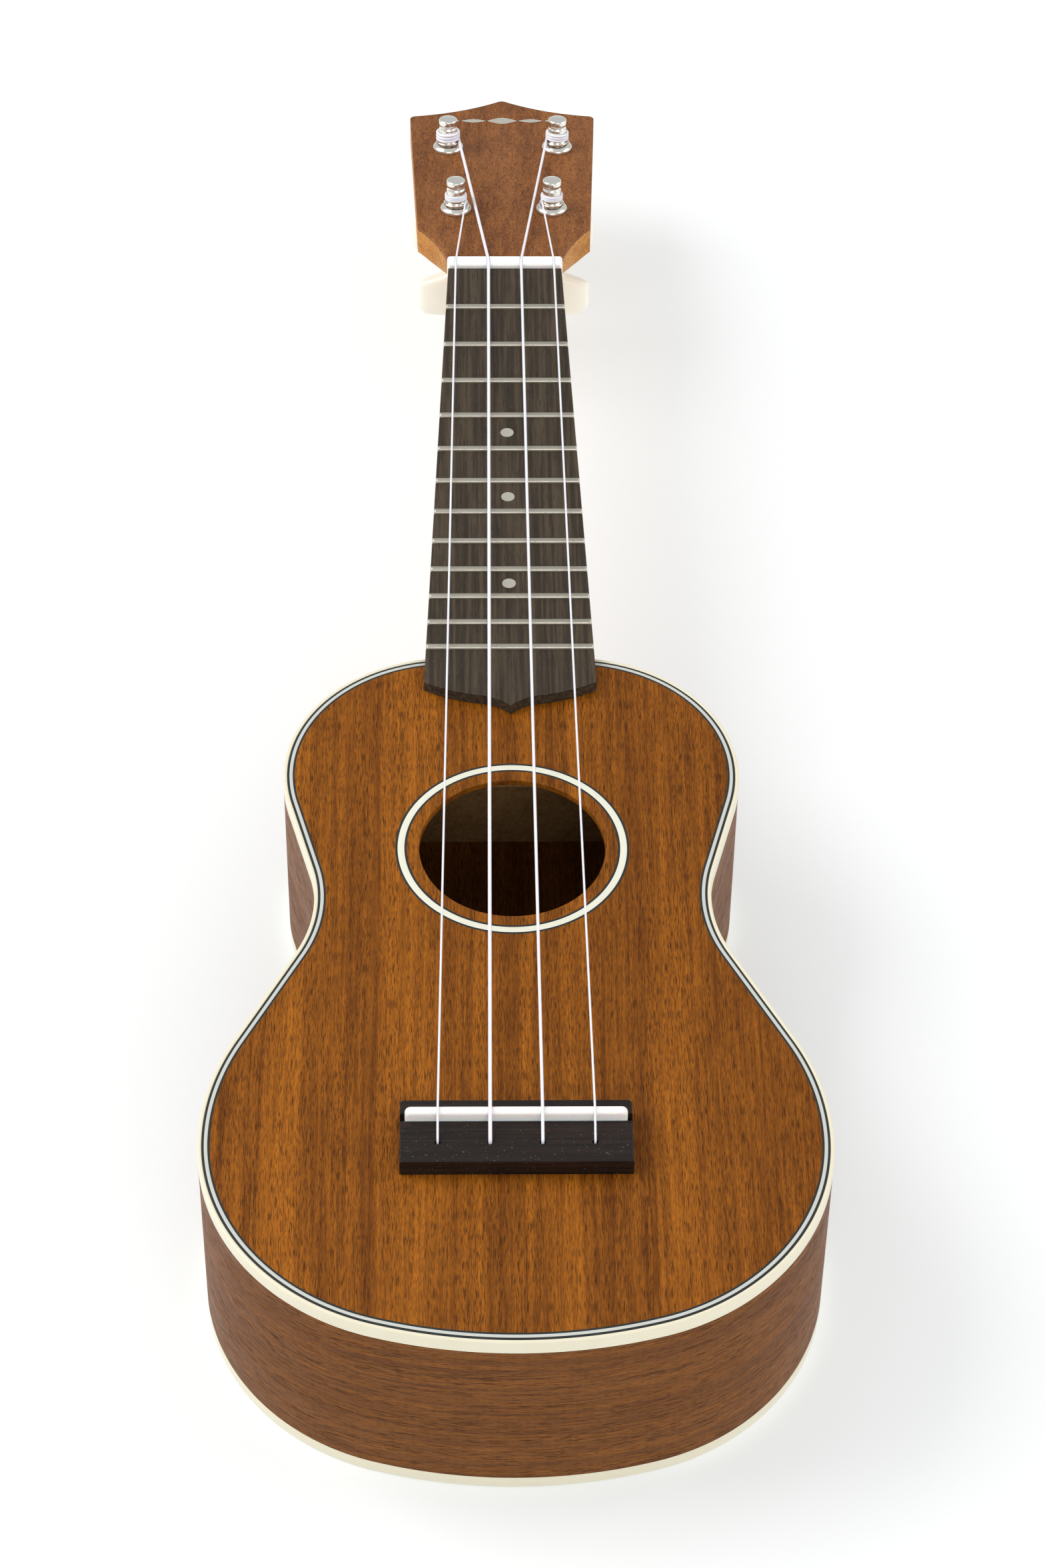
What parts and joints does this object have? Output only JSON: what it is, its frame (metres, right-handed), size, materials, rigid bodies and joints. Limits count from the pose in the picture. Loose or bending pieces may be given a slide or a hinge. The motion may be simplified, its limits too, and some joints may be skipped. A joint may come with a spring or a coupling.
{
  "type": "ukulele",
  "caption": "Soprano ukulele with a waisted wooden sound box, bound edges, round sound hole, fretted neck, string-through bridge and rear friction tuning pegs.",
  "frame": {"origin": "on the surface that the flat back rests on, under the middle of the whole instrument", "axes": "+Y from the tail to the head, +Z out of the soundboard, +X to the right seen from the tail with the soundboard up"},
  "size_m": [0.1642, 0.533, 0.0717],
  "materials": {
    "top_mahogany": "satin lacquer over open-pored mahogany",
    "side_mahogany": "satin lacquer",
    "neck_mahogany": "satin lacquer",
    "veneer_mahogany": "satin lacquer",
    "inner_wood": "bare",
    "fretboard_rosewood": "bare, oiled",
    "bridge_rosewood": "bare, oiled",
    "cream_binding": "satin",
    "rosette_cream": "satin",
    "dark_line": "satin",
    "white_line": "satin",
    "fret_metal": "polished nickel silver",
    "pearl": "gloss",
    "bone": "satin",
    "post_nickel": "nickel plate",
    "fibre": "matte",
    "nylon": "clear nylon",
    "button_ivory": "gloss",
    "screw_steel": "plated"
  },
  "bodies": {
    "body": {"back_binding": "cream_binding", "back_braces": "inner_wood", "back_lining": "inner_wood", "back_plate": "side_mahogany", "bridge": "bridge_rosewood", "bridge_patch": "inner_wood", "ferrules": "post_nickel", "fret_dots": "pearl", "fretboard": "fretboard_rosewood", "frets": "fret_metal", "friction_washers": "fibre", "head_veneer": "veneer_mahogany", "inner_dark_line": "dark_line", "left_rib": "side_mahogany", "neck": "neck_mahogany", "neck_block": "inner_wood", "neck_dowels": "inner_wood", "nut": "bone", "outer_dark_line": "dark_line", "rear_collars": "post_nickel", "right_rib": "side_mahogany", "rosette_band": "rosette_cream", "rosette_lines": "dark_line", "saddle": "bone", "soundboard": "top_mahogany", "string_a": "nylon", "string_c": "nylon", "string_e": "nylon", "string_g": "nylon", "tail_block": "inner_wood", "top_binding": "cream_binding", "top_braces": "inner_wood", "top_lining": "inner_wood", "white_line": "white_line"},
    "peg_g": {"post_g": "post_nickel", "winding_g": "nylon", "button_g": "button_ivory", "button_screw_g": "screw_steel"},
    "peg_c": {"post_c": "post_nickel", "winding_c": "nylon", "button_c": "button_ivory", "button_screw_c": "screw_steel"},
    "peg_e": {"post_e": "post_nickel", "winding_e": "nylon", "button_e": "button_ivory", "button_screw_e": "screw_steel"},
    "peg_a": {"post_a": "post_nickel", "winding_a": "nylon", "button_a": "button_ivory", "button_screw_a": "screw_steel"}
  },
  "joints": [
    {"name": "peg_g_turn", "type": "hinge", "parent": "body", "child": "peg_g", "pos_m": [-0.0155, 0.18826, 0.0591], "axis": [0, 0.1822, 0.9833], "continuous": true},
    {"name": "peg_c_turn", "type": "hinge", "parent": "body", "child": "peg_c", "pos_m": [-0.0181, 0.23152, 0.05109], "axis": [0, 0.1822, 0.9833], "continuous": true},
    {"name": "peg_e_turn", "type": "hinge", "parent": "body", "child": "peg_e", "pos_m": [0.0181, 0.23152, 0.05109], "axis": [0, 0.1822, 0.9833], "continuous": true},
    {"name": "peg_a_turn", "type": "hinge", "parent": "body", "child": "peg_a", "pos_m": [0.0155, 0.18826, 0.0591], "axis": [0, 0.1822, 0.9833], "continuous": true}
  ]
}
